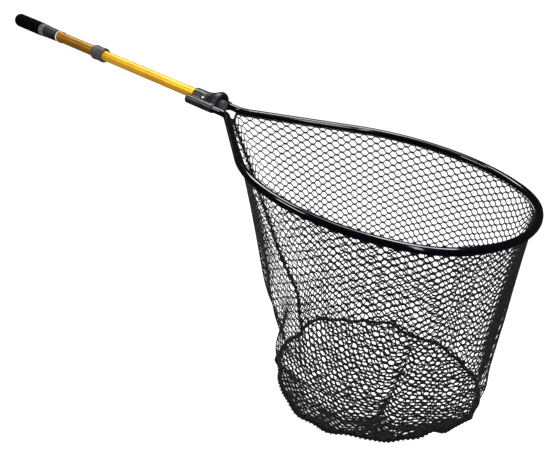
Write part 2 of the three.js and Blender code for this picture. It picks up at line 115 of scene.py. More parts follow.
def add_piece(name, shape, material, body, *nodes, sharp=35):
    """A finished piece that rides on a body and stands for the CAD nodes named."""
    verts, faces = shape
    obj = make_object(name, verts, faces, material, sharp)
    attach(obj, body)
    if nodes:
        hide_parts(*nodes)
    return obj


def joined(*shapes):
    """Several (vertices, faces) shapes as one."""
    verts, faces, count = [], [], 0
    for part_verts, part_faces in shapes:
        verts.append(np.asarray(part_verts, float))
        faces += [tuple(i + count for i in face) for face in part_faces]
        count += len(part_verts)
    return np.vstack(verts), faces


def moved(shape, matrix):
    verts, faces = shape
    verts = np.asarray(verts, float)
    turned_verts = verts @ np.array(matrix.to_3x3()).T + np.array(matrix.translation)
    return turned_verts, faces


def rounded(profile, radius, steps=5, closed=False):
    """A profile with each corner replaced by a small arc."""
    points = [np.array(p, float) for p in profile]
    count = len(points)
    result = []
    for i, here in enumerate(points):
        if not closed and i in (0, count - 1):
            result.append(tuple(here))
            continue
        before, after = points[i - 1] - here, points[(i + 1) % count] - here
        reach = min(radius, 0.45 * np.linalg.norm(before), 0.45 * np.linalg.norm(after))
        start = here + before / np.linalg.norm(before) * reach
        end = here + after / np.linalg.norm(after) * reach
        for k in range(steps + 1):
            t = k / steps
            result.append(tuple((1 - t) ** 2 * start + 2 * t * (1 - t) * here + t ** 2 * end))
    return result


def lathe(profile, facets=96, ring=False):
    """A profile of (x, radius) turned about the X axis: from axis to axis, or a closed ring."""
    verts, rows = [], []
    for x, radius in profile:
        if radius < 1e-6:
            rows.append([len(verts)] * facets)
            verts.append((x, 0, 0))
            continue
        rows.append(list(range(len(verts), len(verts) + facets)))
        angles = 2 * math.pi * np.arange(facets) / facets
        verts += [(x, radius * math.cos(a), radius * math.sin(a)) for a in angles]
    pairs = list(zip(rows, rows[1:] + rows[:1])) if ring else list(zip(rows, rows[1:]))
    faces = []
    for first, second in pairs:
        for i in range(facets):
            j = (i + 1) % facets
            corners = [first[i], first[j], second[j], second[i]]
            face = tuple(dict.fromkeys(corners))
            if len(face) > 2:
                faces.append(face)
    return np.array(verts), faces


def sleeve(outside, bore, radius, facets=96):
    """A turned sleeve with rounded edges; outside lists (x, radius) from back to front."""
    profile = [*outside, (outside[-1][0], bore), (outside[0][0], bore)]
    return lathe(rounded(profile, radius, closed=True), facets, ring=True)


def unit(vectors):
    return vectors / np.maximum(np.linalg.norm(vectors, axis=-1, keepdims=True), 1e-9)


def tube(points, radius, sides=12, normals=None, closed=False):
    """A round tube along a polyline, capped unless closed. radius is one number or one for each point."""
    points = np.asarray(points, float)
    count = len(points)
    radius = np.broadcast_to(radius, (count,))
    ahead = np.roll(points, -1, 0) - points
    behind = points - np.roll(points, 1, 0)
    if not closed:
        ahead[-1], behind[0] = behind[-1], ahead[0]
    tangent = unit(unit(ahead) + unit(behind))
    if normals is None:
        normals = np.empty_like(points)
        guess = np.array([0, 0, 1.0]) if abs(tangent[0][2]) < 0.9 else np.array([1.0, 0, 0])
        for i in range(count):
            guess = guess - tangent[i] * (guess @ tangent[i])
            guess = guess / np.linalg.norm(guess)
            normals[i] = guess
    side = unit(np.cross(tangent, normals))
    normals = np.cross(side, tangent)
    angles = 2 * math.pi * np.arange(sides) / sides
    ring = (np.cos(angles)[None, :, None] * side[:, None, :]
            + np.sin(angles)[None, :, None] * normals[:, None, :])
    verts = (points[:, None, :] + ring * radius[:, None, None]).reshape(-1, 3)
    faces = []
    for i in range(count if closed else count - 1):
        a, b = i * sides, ((i + 1) % count) * sides
        faces += [(a + k, a + (k + 1) % sides, b + (k + 1) % sides, b + k) for k in range(sides)]
    if not closed:
        faces.append(tuple(range(sides))[::-1])
        faces.append(tuple(range((count - 1) * sides, count * sides)))
    return verts, faces


# ---------------------------------------------------------------- materials


class Look:
    """A material's node tree with short ways to make noise, ramps and bumps in the object's own frame."""

    def __init__(self, name):
        self.material = bpy.data.materials.new(name)
        self.material.use_nodes = True
        self.nodes = self.material.node_tree.nodes
        self.links = self.material.node_tree.links
        self.shader = self.nodes["Principled BSDF"]
        self.place = self.nodes.new("ShaderNodeTexCoord").outputs["Object"]
        self.height = None

    def set(self, **values):
        for key, value in values.items():
            self.shader.inputs[key.replace("_", " ")].default_value = value
        return self

    def stretched(self, scale):
        node = self.nodes.new("ShaderNodeMapping")
        node.inputs["Scale"].default_value = scale
        self.links.new(self.place, node.inputs["Vector"])
        return node.outputs["Vector"]

    def noise(self, scale, detail=4.0, roughness=0.6, stretch=None):
        node = self.nodes.new("ShaderNodeTexNoise")
        node.inputs["Scale"].default_value = scale
        node.inputs["Detail"].default_value = detail
        node.inputs["Roughness"].default_value = roughness
        self.links.new(self.stretched(stretch) if stretch else self.place, node.inputs["Vector"])
        return node.outputs["Fac"]

    def cells(self, scale, stretch=None):
        node = self.nodes.new("ShaderNodeTexVoronoi")
        node.inputs["Scale"].default_value = scale
        self.links.new(self.stretched(stretch) if stretch else self.place, node.inputs["Vector"])
        return node.outputs["Distance"]

    def waves(self, scale, direction="X", distortion=0.0):
        node = self.nodes.new("ShaderNodeTexWave")
        node.bands_direction = direction
        node.inputs["Scale"].default_value = scale
        node.inputs["Distortion"].default_value = distortion
        self.links.new(self.place, node.inputs["Vector"])
        return node.outputs["Fac"]

    def ramp(self, factor, *stops):
        node = self.nodes.new("ShaderNodeValToRGB")
        elements = node.color_ramp.elements
        for i, (position, colour) in enumerate(stops):
            element = elements[i] if i < 2 else elements.new(position)
            element.position = position
            element.color = (*colour, 1) if not isinstance(colour, float) else (colour, colour, colour, 1)
        self.links.new(factor, node.inputs["Fac"])
        return node.outputs["Color"]

    def mixed(self, factor, first, second):
        node = self.nodes.new("ShaderNodeMix")
        node.data_type = "RGBA"
        self.links.new(factor, node.inputs["Factor"])
        self.links.new(first, node.inputs[6])
        self.links.new(second, node.inputs[7])
        return node.outputs[2]

    def colour(self, socket):
        self.links.new(socket, self.shader.inputs["Base Color"])
        return self

    def gloss(self, socket):
        self.links.new(socket, self.shader.inputs["Roughness"])
        return self

    def bump(self, socket, depth, strength=1.0):
        """Adds relief of about this depth in metres on top of the relief so far."""
        node = self.nodes.new("ShaderNodeBump")
        node.inputs["Strength"].default_value = strength
        node.inputs["Distance"].default_value = depth
        self.links.new(socket, node.inputs["Height"])
        if self.height:
            self.links.new(self.height, node.inputs["Normal"])
        self.height = node.outputs["Normal"]
        self.links.new(self.height, self.shader.inputs["Normal"])
        return self


def grip_rubber():
    look = Look("grip_rubber").set(Specular_IOR_Level=0.02)
    mottle = look.noise(140, 5)
    look.colour(look.ramp(mottle, (0.36, (0.0006, 0.0007, 0.0004)), (0.66, (0.0028, 0.003, 0.0018))))
    look.gloss(look.ramp(look.noise(260, 3), (0.3, 0.55), (0.7, 0.85)))
    look.bump(look.cells(950), 0.00030, 0.9)
    return look.bump(mottle, 0.00025, 0.5).material


def moulded_plastic(name, dark, light, rough, grain=2600, relief=0.00005):
    look = Look(name)
    look.colour(look.ramp(look.noise(45, 5), (0.32, dark), (0.7, light)))
    look.gloss(look.ramp(look.noise(190, 4), (0.3, rough - 0.07), (0.7, rough + 0.1)))
    look.bump(look.noise(grain, 2), relief, 0.7)
    return look.bump(look.noise(90, 2), 0.00015, 0.35).material


def anodised(name, dark, light, rough):
    """Bright anodised tube: drawn lines along it, faint clouds of colour and a few rubbed scratches."""
    look = Look(name).set(Metallic=0.6, Coat_Weight=0.05, Coat_Roughness=0.2)
    clouds = look.noise(14, 4, stretch=(1, 3, 3))
    drawn = look.noise(60, 4, stretch=(0.6, 26, 26))
    scratches = look.noise(34, 8, 0.75, stretch=(9, 60, 60))
    base = look.ramp(clouds, (0.3, dark), (0.7, light))
    rubbed = look.ramp(scratches, (0.0, light), (1.0, tuple(min(1, c * 1.25 + 0.05) for c in light)))
    look.colour(look.mixed(look.ramp(scratches, (0.66, 0.0), (0.74, 0.55)), base, rubbed))
    look.gloss(look.ramp(drawn, (0.3, rough), (0.75, rough + 0.14)))
    return look.bump(drawn, 0.00003, 0.5).material


def black_moulding():
    look = Look("black_moulding").set(Specular_IOR_Level=0.5)
    look.colour(look.ramp(look.noise(38, 5), (0.35, (0.004, 0.0045, 0.005)), (0.72, (0.011, 0.012, 0.013))))
    look.gloss(look.ramp(look.noise(120, 6), (0.3, 0.30), (0.75, 0.44)))
    look.bump(look.noise(1500, 2), 0.00004, 0.5)
    return look.bump(look.noise(70, 2), 0.00030, 0.4).material


def enamel():
    """Black gloss enamel with a slight orange peel, a little dust and a bluish tint in its colour and coat
    that is a painted cool reflection.
    """
    look = Look("black_enamel").set(Coat_Weight=1.0, Coat_Roughness=0.04, Specular_IOR_Level=0.12)
    # painted reflection: the bluish coat tint and the blue in the base colour below stand for cool light
    # reflected in the enamel
    look.set(Coat_Tint=(0.82, 0.84, 1.0, 1))
    dust = look.ramp(look.noise(420, 9, 0.8), (0.60, 0.0), (0.82, 1.0))
    black = look.ramp(look.noise(30, 3), (0.3, (0.0006, 0.0006, 0.0010)), (0.7, (0.0016, 0.0016, 0.0036)))
    grey = look.ramp(look.noise(900, 2), (0.3, (0.005, 0.005, 0.006)), (0.7, (0.014, 0.014, 0.014)))
    look.colour(look.mixed(dust, black, grey))
    look.gloss(look.ramp(look.noise(75, 6), (0.35, 0.13), (0.75, 0.27)))
    return look.bump(look.noise(260, 2), 0.00005, 0.35).material


def twine(name, dark, light, tint):
    """Black knotless twine: laid fibres, dull sheen and slight brown or green tints."""
    look = Look(name).set(Sheen_Weight=0.04, Sheen_Roughness=0.5, Specular_IOR_Level=0.25)
    base = look.ramp(look.noise(500, 3), (0.3, dark), (0.72, light))
    patches = look.ramp(look.noise(11, 3), (0.52, 0.0), (0.72, 0.6))
    tinted = look.ramp(look.noise(260, 3), (0.3, dark), (0.72, tint))
    look.colour(look.mixed(patches, base, tinted))
    look.gloss(look.ramp(look.noise(700, 3), (0.3, 0.42), (0.7, 0.72)))
    look.bump(look.waves(420, "DIAGONAL", 4.0), 0.00035, 0.8)
    return look.bump(look.noise(2600, 2), 0.00015, 0.6).material


def steel(name, dark, light, rough):
    look = Look(name).set(Metallic=1.0)
    look.colour(look.ramp(look.noise(300, 5), (0.3, dark), (0.7, light)))
    look.gloss(look.ramp(look.noise(800, 4, stretch=(1, 8, 8)), (0.3, rough), (0.7, rough + 0.15)))
    return look.bump(look.noise(1500, 3, stretch=(1, 12, 12)), 0.00002, 0.5).material


GRIP_RUBBER = grip_rubber()
LIGHT_GREY = moulded_plastic("light_grey_plastic", (0.055, 0.056, 0.052), (0.085, 0.087, 0.081), 0.45)
DARK_GREY = moulded_plastic("dark_grey_plastic", (0.005, 0.005, 0.005), (0.012, 0.012, 0.012), 0.45)
COLLAR_GREY = moulded_plastic("collar_plastic", (0.028, 0.026, 0.022), (0.052, 0.048, 0.041), 0.45)
PALE_NYLON = moulded_plastic("pale_nylon", (0.48, 0.37, 0.33), (0.62, 0.51, 0.47), 0.4)
PLUG_GREY = moulded_plastic("plug_plastic", (0.030, 0.032, 0.035), (0.060, 0.063, 0.067), 0.42)
# painted shade: the rear tube's copy of the yellow anodising has a darker base colour than the front's,
# standing for less light on it
PAINTED_SHADE_REAR_YELLOW = anodised("anodised_rear_painted_shade", (0.21, 0.090, 0.0008), (0.31, 0.136, 0.0018), 0.33)
FRONT_YELLOW = anodised("anodised_front", (0.66, 0.315, 0.010), (0.86, 0.45, 0.020), 0.35)
MOULDING = black_moulding()
ENAMEL = enamel()
TWINE = twine("net_twine", (0.002, 0.002, 0.002), (0.007, 0.007, 0.0065), (0.018, 0.015, 0.009))
BOTTOM_TWINE = twine("bottom_twine", (0.0025, 0.0025, 0.002), (0.009, 0.009, 0.007), (0.020, 0.024, 0.012))
CORD_TWINE = twine("seam_twine", (0.0015, 0.0015, 0.0015), (0.005, 0.005, 0.005), (0.010, 0.009, 0.007))
BRIGHT_STEEL = steel("bright_steel", (0.62, 0.63, 0.64), (0.86, 0.87, 0.88), 0.16)
SPLICE_METAL = steel("splice_metal", (0.48, 0.48, 0.49), (0.66, 0.66, 0.67), 0.3)

# ---------------------------------------------------------------- handle


def span(node):
    return low(node, 0), high(node, 0)


def rolled(angle_from, angle_to, centre, radii, steps):
    """Points (x, radius) on an elliptical arc."""
    angles = np.radians(np.linspace(angle_from, angle_to, steps))
    return [(centre[0] + radii[0] * math.cos(a), centre[1] + radii[1] * math.sin(a)) for a in angles]


def make_grip():
    start, end = span("grip")
    outer = high("grip", 2)
    wall_end = start + 12
    butt = rolled(180, 90, (start + 11, 6), (11, outer - 6), 16)
    front = rounded([(end - 6, outer), (end, outer), (end, SLEEVE_BORE), (wall_end, SLEEVE_BORE),
                     (wall_end, 0)], 1.2)
    shape = lathe([(start, 0), *butt, *front], 128)
    add_piece("grip_sleeve", shape, GRIP_RUBBER, "rear_section", "grip")


def make_ferrules():
    start, end = span("grip_trim_ring")
    outer = high("grip_trim_ring", 2)
    outside = [(start, outer - 0.3), (start + 3, outer), (end - 3, outer), (end, outer - 0.3)]
    add_piece("trim_ring", sleeve(outside, SLEEVE_BORE, 0.9), LIGHT_GREY, "rear_section", "grip_trim_ring")

    start, end = span("grip_ferrule")
    outer = high("grip_ferrule", 2)
    groove_floor = outer - 1.3
    grooves = []
    for back in (9.0, 6.0):
        x = end - back
        grooves += [(x - 0.9, outer - 0.75), (x - 0.5, groove_floor), (x + 0.5, groove_floor),
                    (x + 0.9, outer - 0.8)]
    outside = [(start, outer - 0.2), (start + 5, outer), *grooves, (end, outer - 0.9)]
    add_piece("ferrule", sleeve(outside, SLEEVE_BORE, 0.6), DARK_GREY, "rear_section", "grip_ferrule")

    start, end = span("ferrule_washer")
    outer = high("ferrule_washer", 2)
    add_piece("washer", sleeve([(start, outer), (end, outer)], SLEEVE_BORE, 1.3), PALE_NYLON,
              "rear_section", "ferrule_washer")


BEAD_START = 182.0
BEAD_LENGTH = 12.0


def make_tubes():
    start, end = span("rear_tube")
    outer, bead = REAR_TUBE, high("rear_tube", 2)
    hump = []
    for t in np.linspace(0, 1, 25):
        hump.append((BEAD_START + BEAD_LENGTH * t, outer + (bead - outer) * math.sin(math.pi * t) ** 0.7))
    outside = [(start, outer), *hump, (end, outer)]
    profile = [*outside, (end, REAR_BORE), (start, REAR_BORE)]
    add_piece("rear_tube_shell", lathe(rounded(profile, 0.3, 3, closed=True), 128, ring=True), PAINTED_SHADE_REAR_YELLOW,
              "rear_section", "rear_tube", sharp=30)
    start, end = span("front_tube")
    add_piece("front_tube_shell", sleeve([(start, FRONT_TUBE), (end, FRONT_TUBE)], FRONT_BORE, 0.3, 128),
              FRONT_YELLOW, "front_section", "front_tube")


def make_collar():
    """The twist-lock collar, with flat finger scallops along its middle and a narrower mouth."""
    start, end = span("lock_collar")
    outer = high("lock_collar", 2)
    outside = [(start, outer - 1.6), (start + 1.6, outer), (start + 7, outer), (start + 8, outer - 0.7),
               (end - 9, outer - 0.7), (end - 8, outer), (end - 1.8, outer), (end, outer - 1.6)]
    seat = high("rear_tube", 0)
    mouth, collet_room = 13.1, 15.9
    inside = [(end, mouth), (end - 3, mouth), (end - 3, collet_room), (seat, collet_room),
              (seat, SLEEVE_BORE), (start, SLEEVE_BORE)]
    verts, faces = lathe(rounded([*outside, *inside], 0.7, 4, closed=True), 160, ring=True)
    radius = np.hypot(verts[:, 1], verts[:, 2])
    angle = np.arctan2(verts[:, 2], verts[:, 1])
    inner_band = (verts[:, 0] > start + 7.6) & (verts[:, 0] < end - 8.6) & (radius > outer - 1.5)
    scallop = 0.28 * (0.5 + 0.5 * np.cos(20 * angle))
    scale = np.where(inner_band, (radius - scallop) / radius, 1.0)
    verts[:, 1:] *= scale[:, None]
    add_piece("collar", (verts, faces), COLLAR_GREY, "lock_collar", "lock_collar")


PLUG_DOME = 3.6


def make_end_plug():
    start, end = span("front_tube_end_plug")
    rim_start = high("front_tube", 0) + GAP
    outer = high("front_tube_end_plug", 2)
    dome = rolled(90, 0, (end - PLUG_DOME, 0), (PLUG_DOME, outer), 18)
    spigot = [(start, 0), (start, PLUG_SPIGOT), (rim_start, PLUG_SPIGOT)]
    profile = [*spigot, (rim_start, outer), *dome[:-1], (end, 0)]
    add_piece("end_plug", lathe(profile, 96), PLUG_GREY, "front_section", "front_tube_end_plug", sharp=40)


# ---------------------------------------------------------------- yoke


def baked(obj):
    """Applies an object's modifiers to its mesh."""
    graph = bpy.context.evaluated_depsgraph_get()
    mesh = bpy.data.meshes.new_from_object(obj.evaluated_get(graph))
    old = obj.data
    obj.modifiers.clear()
    obj.data = mesh
    bpy.data.meshes.remove(old)


def cut(obj, shape):
    """Cuts a closed shape out of an object."""
    verts, faces = shape
    tool = make_object("cutter", verts, faces, MOULDING)
    modifier = obj.modifiers.new("cut", "BOOLEAN")
    modifier.operation = "DIFFERENCE"
    modifier.solver = "EXACT"
    modifier.object = tool
    baked(obj)
    bpy.data.objects.remove(tool)


def rod(start, end, radius, facets=96, edge=0.0):
    profile = [(start, 0), (start, radius), (end, radius), (end, 0)]
    return lathe(rounded(profile, edge) if edge else profile, facets)


# radii of the yoke's barrels and bores, of what is made in it for the button, and of the screws' holes
HANDLE_BARREL, HANDLE_BORE = 16.4, 12.8
ARM_BARREL, ARM_BORE = 10.4, 8.3
BOSS, POCKET, STEM_HOLE = 6.8, 4.8, 2.1
SCREW_HOLE, SCREW_SEAT = 2.3, 3.8
ARM_BORE_FLOOR = 17.0                        # from the yoke's rear face
BOSS_TOP = 20.6                              # above the handle's axis, along the button
VOXEL_M, QUICK_VOXEL_M = 0.0008, 0.0011
BUTTON_BACK = 44.0
BUTTON_TILT = math.radians(76)
POCKET_FLOOR = 14.2
BUTTON_TURN = Matrix.Rotation(BUTTON_TILT, 4, "X") @ Matrix.Rotation(-math.pi / 2, 4, "Y")


def at_button(shape):
    return moved(shape, Matrix.Translation((FRONT - BUTTON_BACK, 0, 0)) @ BUTTON_TURN)


SCREW_HEAD = 1.2                             # from a screw's seat to the underside of its head


def at_screw(shape, side):
    """Turns a piece made along +X upwards and moves it to a screw's seat in the yoke."""
    x = (low("arm_screw_near", 0) + high("arm_screw_near", 0)) / 2
    seat = Matrix.Translation((x, side * ARM_OFFSET, low("arm_screw_near", 2) + SCREW_HEAD))
    return moved(shape, seat @ Matrix.Rotation(-math.pi / 2, 4, "Y"))


def web_shape(side, rear, front):
    """The flat web between the handle barrel and one arm barrel."""
    under, low_top, high_top = -15.5, -1.5, 3.0
    section = [(0, under), (side * ARM_OFFSET, under), (side * ARM_OFFSET, low_top), (side * 13, high_top),
               (0, high_top)]
    verts = [(x, y, z) for x in (rear, front) for y, z in section]
    count = len(section)
    faces = [tuple(range(count)), tuple(range(2 * count - 1, count - 1, -1))]
    faces += [(i, i + count, (i + 1) % count + count, (i + 1) % count) for i in range(count)]
    return np.array(verts, float), faces


def make_yoke():
    rear = low("yoke", 0)
    # the bell's outline: distance back from the yoke's front face, and radius
    flare = [(52, 15.0), (50, 16.3), (40, 17.4), (30, 19.6), (20, 23.4), (14, 26.4), (10, 28.2), (7, 28.7),
             (4, 27.7), (1.5, 25.0), (0.2, 23.2)]
    flare = [(FRONT - back, radius) for back, radius in flare]
    bell = lathe([(flare[0][0], 0), *rounded(flare, 3), (flare[-1][0], 0)], 128)
    bell[0][:, 2] = np.maximum(bell[0][:, 2], low("yoke", 2))           # the yoke is flat underneath
    solids = [rod(rear, FRONT - 0.3, HANDLE_BARREL, edge=1.6), bell,
              at_button(rod(0, BOSS_TOP, BOSS, 64, edge=0.8))]
    for side in (-1, 1):
        arm = rod(rear, FRONT - 0.2, ARM_BARREL, 80, edge=1.6)
        solids.append(moved(arm, Matrix.Translation((0, side * ARM_OFFSET, -HOOP_DROP))))
        solids.append(web_shape(side, rear + 1.5, FRONT - 1.5))
    verts, faces = joined(*solids)
    yoke = make_object("yoke_moulding", verts, faces, MOULDING)
    remesh = yoke.modifiers.new("remesh", "REMESH")
    remesh.mode = "VOXEL"
    remesh.voxel_size = VOXEL_M
    smooth = yoke.modifiers.new("smooth", "SMOOTH")
    smooth.factor = 0.5
    smooth.iterations = 9
    baked(yoke)

    cut(yoke, rod(rear - 5, FRONT + 5, HANDLE_BORE))
    cut(yoke, lathe([(FRONT - 5, 0), (FRONT - 5, 14.3), (FRONT, 19), (FRONT + 5, 19.5), (FRONT + 5, 0)], 96))
    cut(yoke, at_button(rod(POCKET_FLOOR, 26, POCKET, 64)))
    cut(yoke, at_button(rod(8, 16, STEM_HOLE, 32)))
    for side in (-1, 1):
        bore = rod(rear + ARM_BORE_FLOOR, FRONT + 5, ARM_BORE, 80)
        cut(yoke, moved(bore, Matrix.Translation((0, side * ARM_OFFSET, -HOOP_DROP))))
        cut(yoke, at_screw(rod(-4, 10.8, SCREW_HOLE, 32), side))
        cut(yoke, at_screw(rod(-6, 0, SCREW_SEAT, 48), side))
    yoke.data.polygons.foreach_set("use_smooth", [True] * len(yoke.data.polygons))
    yoke.data.set_sharp_from_angle(angle=math.radians(38))
    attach(yoke, "hoop_section")
    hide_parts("yoke")


def make_button():
    stem, cap = 1.6, 4.4
    cap_base, cap_edge, dome_base, top = 18.6, 20.0, 20.4, 22.0
    head = [(15, 0), (15, stem), (cap_base, stem), (cap_base, cap)]
    dome = rolled(90, 0, (dome_base, 0), (1.6, cap), 14)
    profile = [*head, *rounded([(cap_base, cap), (cap_edge, cap), dome[0]], 0.3)[1:], *dome[1:-1], (top, 0)]
    add_piece("button", at_button(lathe(profile, 64)), BRIGHT_STEEL, "snap_button", "snap_button", sharp=40)
    foot_height, length, coil_radius, wire = 14.95, 2.9, 3, 0.45
    turns = np.linspace(0, 2.6 * 2 * math.pi, 110)
    coil = np.stack([foot_height + length * turns / turns[-1], coil_radius * np.cos(turns),
                     coil_radius * np.sin(turns)], 1)
    spring = add_piece("button_spring", at_button(tube(coil, wire, 8)), BRIGHT_STEEL, "hoop_section",
                       "snap_button_spring")
    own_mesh(spring)


def screw_shape():
    """A low-headed screw pointing along +X, with a cross recess in its head and ridges for its thread."""
    head = rolled(180, 90, (-0.6, 0), (0.6, 3.4), 12)
    thread = [(x, 1.9 - 0.25 * (i % 2)) for i, x in enumerate(np.arange(0.4, 7.2, 0.4))]
    profile = [(-SCREW_HEAD, 0), *head[1:], (-0.3, 3.4), (-0.3, 1.9), *thread, (8.4, 0)]
    verts, faces = lathe(profile, 64)
    radius = np.hypot(verts[:, 1], verts[:, 2])
    angle = np.arctan2(verts[:, 2], verts[:, 1])
    in_head = verts[:, 0] < -0.7
    in_cross = in_head & (radius < 1.9) & ((np.abs(np.sin(2 * angle)) < 0.42) | (radius < 0.4))
    verts[in_cross, 0] += 0.4
    return verts, faces


def make_screws():
    for name, side in (("arm_screw_near", -1), ("arm_screw_far", 1)):
        shape = at_screw(screw_shape(), side)
        add_piece(name.replace("arm", "yoke"), shape, BRIGHT_STEEL, "hoop_section", name)


# ---------------------------------------------------------------- hoop


def half_outline(step):
    """Points of the far half from the yoke's front to the nose, and how many there are after each leg."""
    at, heading = np.array([0.0, ARM_OFFSET]), 0.0
    points, marks = [at], []
    legs = list(ARM_LEGS)
    for index in range(len(legs) + 1):
        if index < len(legs):
            kind, size, *turn = legs[index]
        else:
            kind, size, turn = "arc", at[1] / math.cos(heading), [-90 - math.degrees(heading)]
        if kind == "straight":
            count = max(1, round(size / 12))
            way = np.array([math.cos(heading), math.sin(heading)])
            points += [at + way * size * i / count for i in range(1, count + 1)]
        else:
            sweep = math.radians(turn[0])
            side = math.copysign(1, sweep)
            pivot = at + side * size * np.array([-math.sin(heading), math.cos(heading)])
            count = math.ceil(abs(turn[0]) / step)
            for i in range(1, count + 1):
                angle = heading + sweep * i / count
                points.append(pivot + side * size * np.array([math.sin(angle), -math.cos(angle)]))
            heading += sweep
        at = points[-1]
        marks.append(len(points))
    return np.array(points), marks


HALF, MARKS = half_outline(1.5)
NEAR_HALF = HALF * (1, -1)
LOOP = np.vstack([NEAR_HALF, HALF[::-1][1:]])       # near arm, nose, far arm
JOINT_INDEX = len(LOOP) - MARKS[JOINT_LEG]


def in_frame(points, z):
    """Outline points moved from the yoke's front to the frame, at a height."""
    points = np.asarray(points)
    return np.column_stack([points[:, 0] + FRONT, points[:, 1], np.full(len(points), z)])


def hollow_tube(points, outer, bore, sides=48):
    """A tube with walls, its ends rounded over."""
    skin, skin_faces = tube(points, outer, sides)
    inner, inner_faces = tube(points, bore, sides)
    count = len(skin)
    last = count - sides
    faces = skin_faces[:-2] + [tuple(i + count for i in reversed(f)) for f in inner_faces[:-2]]
    for k in range(sides):
        j = (k + 1) % sides
        faces.append((k, k + count, j + count, j))
        faces.append((last + j, last + j + count, last + k + count, last + k))
    return np.vstack([skin, inner]), faces


def make_hoop():
    inside = low("hoop_tube_near", 0) - FRONT
    near = np.vstack([[(inside, -ARM_OFFSET)], LOOP[:JOINT_INDEX + 1]])
    far = np.vstack([LOOP[JOINT_INDEX:], [(inside, ARM_OFFSET)]])
    far[0] += (far[1] - far[0]) * (HOOP_JOINT_GAP / np.linalg.norm(far[1] - far[0]))
    for name, node, points in (("hoop_near", "hoop_tube_near", near), ("hoop_far", "hoop_tube_far", far)):
        shape = hollow_tube(in_frame(points, -HOOP_DROP), HOOP_RADIUS, HOOP_BORE)
        add_piece(name, shape, ENAMEL, "hoop_section", node)
    splice = in_frame(LOOP[JOINT_INDEX - 8:JOINT_INDEX + 9], -HOOP_DROP)
    add_piece("hoop_splice_rod", tube(splice, SPLICE_RADIUS, 32), SPLICE_METAL, "hoop_section", "hoop_splice")


# ---------------------------------------------------------------- bag

def inset_loop(inset):
    """The hoop's outline moved inwards."""
    ahead = np.roll(LOOP, -1, 0) - LOOP
    ahead[-1] = ahead[-2]
    behind = LOOP - np.roll(LOOP, 1, 0)
    behind[0] = behind[1]
    way = ahead / np.linalg.norm(ahead, axis=1)[:, None] + behind / np.linalg.norm(behind, axis=1)[:, None]
    way /= np.linalg.norm(way, axis=1)[:, None]
    return LOOP + inset * np.column_stack([-way[:, 1], way[:, 0]])


def throat_curve(start, end, count=24):
    """The hem's free part: it hangs between the two arms in a rounded V."""
    t = np.linspace(0, 1, count)[:, None]
    middle = np.array([FRONT + THROAT_X, 0, THROAT_Z])
    pull = 1 - np.abs(2 * t - 1) ** 1.35
    return (1 - t) * start + t * end + pull * (middle - (start + end) / 2)


def hem_loop():
    """The whole top edge of the net as a closed line, starting at the throat's middle."""
    first = int(np.argmax(HALF[:, 0] > HEM_START))
    held = in_frame(inset_loop(HEM_INSET)[first:len(LOOP) - first], HEM_Z)
    throat = throat_curve(held[-1], held[0])
    middle = len(throat) // 2
    return np.vstack([throat[middle:], held[1:-1], throat[:middle]])


def resampled(points, fractions):
    """Points of a closed line at fractions of its length."""
    closed = np.vstack([points, points[:1]])
    steps = np.linalg.norm(np.diff(closed, axis=0), axis=1)
    along = np.concatenate([[0], np.cumsum(steps)]) / steps.sum()
    return np.stack([np.interp(fractions % 1.0, along, closed[:, k]) for k in range(3)], -1)


HEM = hem_loop()


def lump(angle, centre, width):
    """1 at an angle in degrees, falling off smoothly on both sides."""
    off = (angle - centre + 180) % 360 - 180
    return np.exp(-(off / width) ** 2)


# where the seam stands out or is pulled in, and lifts or sags: (amount, direction and width in degrees)
SEAM_SWELLS = [(11, 35, 26), (-10, -52, 24), (-8, -122, 14)]
SEAM_LIFTS = [(15, -68, 9), (17, -34, 12), (6, -122, 12), (13, -12, 26), (-12, 96, 13), (-6, 136, 7),
              (17, 165, 18)]


def seam_loop(count=720):
    """The seam round the bottom panel, uneven as sewn net hangs.

    It starts on the throat's side and goes round the near side first.
    """
    degrees = -180 + 360 * np.arange(count) / count
    angle = np.radians(degrees)
    radius = 1 / np.hypot(np.cos(angle) / SEAM_ALONG, np.sin(angle) / SEAM_ACROSS)
    for size, at, width in SEAM_SWELLS:
        radius = radius + size * lump(degrees, at, width)
    radius = radius + 2.4 * np.sin(9 * angle + 0.6) + 1.8 * np.sin(17 * angle)
    z = SEAM_Z
    for size, at, width in SEAM_LIFTS:
        z = z + size * lump(degrees, at, width)
    z = z + 2.6 * np.sin(13 * angle + 1.1) + 1.8 * np.sin(23 * angle)
    return np.column_stack([FRONT + SEAM_CENTRE + radius * np.cos(angle), radius * np.sin(angle), z])


SEAM = seam_loop()


def seam_fractions(fractions):
    """Where on the seam the columns that leave the hem at these fractions arrive."""
    hem_at = resampled(HEM, fractions)
    angle = np.arctan2(hem_at[:, 1], hem_at[:, 0] - FRONT - SEAM_CENTRE)
    by_angle = (angle + math.pi) / (2 * math.pi)
    part = fractions % 1.0
    by_angle = np.where((part < 0.25) & (by_angle > 0.75), by_angle - 1, by_angle)
    by_angle = np.where((part > 0.75) & (by_angle < 0.25), by_angle + 1, by_angle)
    return 0.6 * by_angle + 0.4 * part


FOLDS = np.random.RandomState(SEED)
FOLD_WAVES = [(k, FOLDS.uniform(0.4, 1.0), FOLDS.uniform(0, 2 * math.pi), FOLDS.uniform(-1.5, 1.5))
              for k in (4, 6, 9, 12, 15)]


def fold_depth(fraction, depth):
    """How far the wall stands out in its folds: they drift sideways and deepen on the way down."""
    total = sum(size * np.sin(2 * math.pi * k * fraction + phase + drift * depth) / math.sqrt(k / 5)
                for k, size, phase, drift in FOLD_WAVES)
    grow = np.clip(depth / 0.5, 0, 1) ** 1.3
    return total * (0.4 + 4.2 * grow)


# where the net is bunched up beside the nose, and how far that spreads, as parts of the hem's length
GATHER_AT, GATHER_SPREAD = 0.555, 0.032


def gather(fraction):
    """1 where the net is bunched up under the hoop beside the nose, falling off on both sides."""
    return np.exp(-((np.asarray(fraction, float) - GATHER_AT) / GATHER_SPREAD) ** 2)


